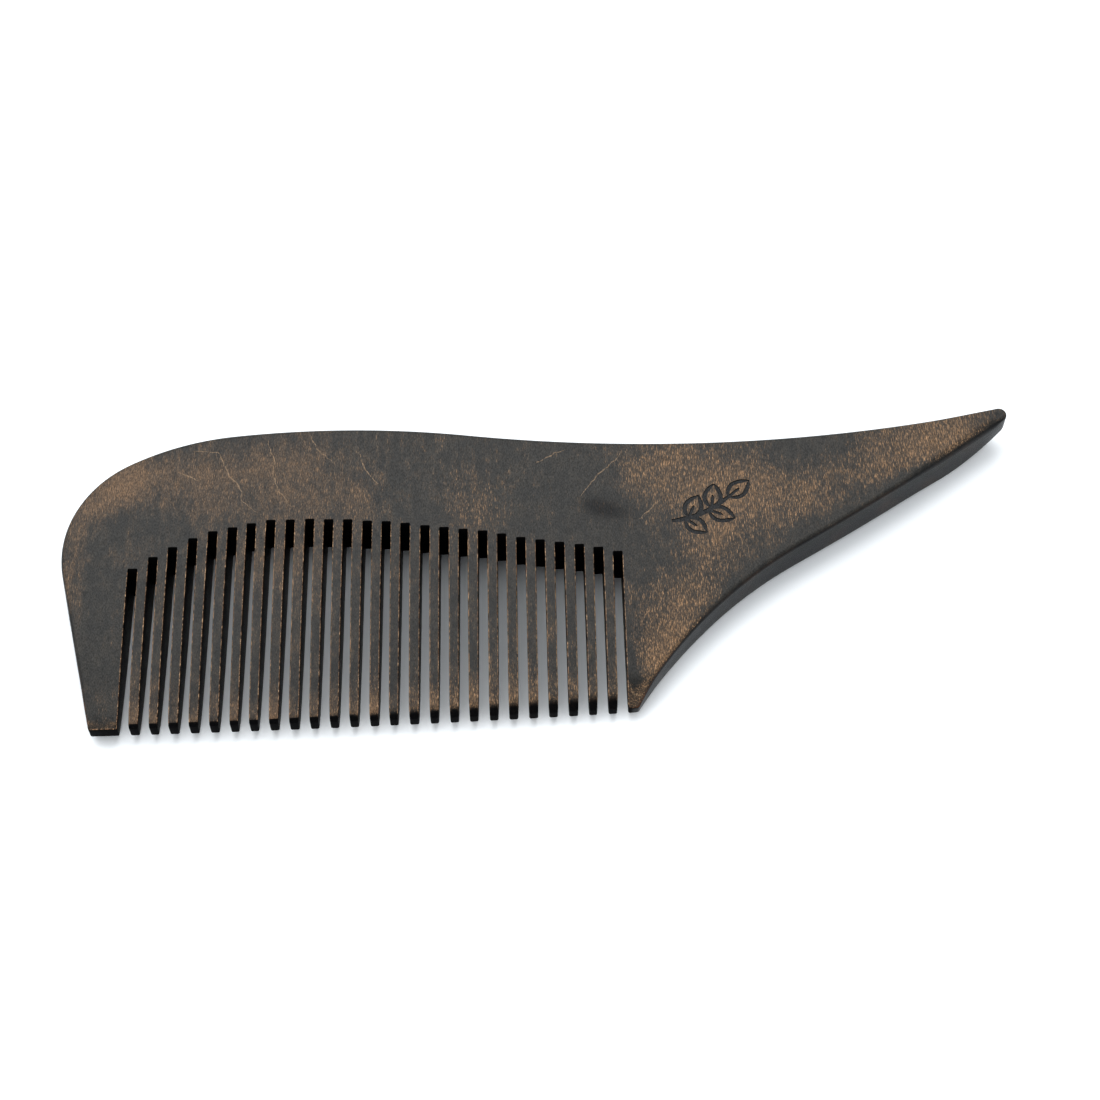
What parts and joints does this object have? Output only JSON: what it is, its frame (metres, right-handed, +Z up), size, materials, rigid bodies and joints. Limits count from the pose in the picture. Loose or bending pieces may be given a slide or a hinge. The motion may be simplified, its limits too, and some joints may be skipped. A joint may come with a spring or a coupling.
{
  "type": "wooden beard comb",
  "caption": "One-piece dark stained wooden beard comb with a humped spine, a row of fine teeth between two guard teeth, and a tapering tail handle.",
  "frame": {"origin": "under the middle of the comb's outline, on the plane of the face that it rests on", "axes": "+X along the row of teeth towards the tail, +Y from the tooth tips to the spine, +Z up, out of the upper face"},
  "size_m": [0.1748, 0.0619, 0.0084],
  "materials": {
    "stained_wood": "dark stain worn through to brown, satin"
  },
  "bodies": {
    "root": {"comb_back": "stained_wood", "tail_handle": "stained_wood", "front_guard": "stained_wood", "rear_guard": "stained_wood", "tooth_01": "stained_wood", "tooth_02": "stained_wood", "tooth_03": "stained_wood", "tooth_04": "stained_wood", "tooth_05": "stained_wood", "tooth_06": "stained_wood", "tooth_07": "stained_wood", "tooth_08": "stained_wood", "tooth_09": "stained_wood", "tooth_10": "stained_wood", "tooth_11": "stained_wood", "tooth_12": "stained_wood", "tooth_13": "stained_wood", "tooth_14": "stained_wood", "tooth_15": "stained_wood", "tooth_16": "stained_wood", "tooth_17": "stained_wood", "tooth_18": "stained_wood", "tooth_19": "stained_wood", "tooth_20": "stained_wood", "tooth_21": "stained_wood", "tooth_22": "stained_wood", "tooth_23": "stained_wood", "tooth_24": "stained_wood", "tooth_25": "stained_wood"}
  },
  "joints": []
}
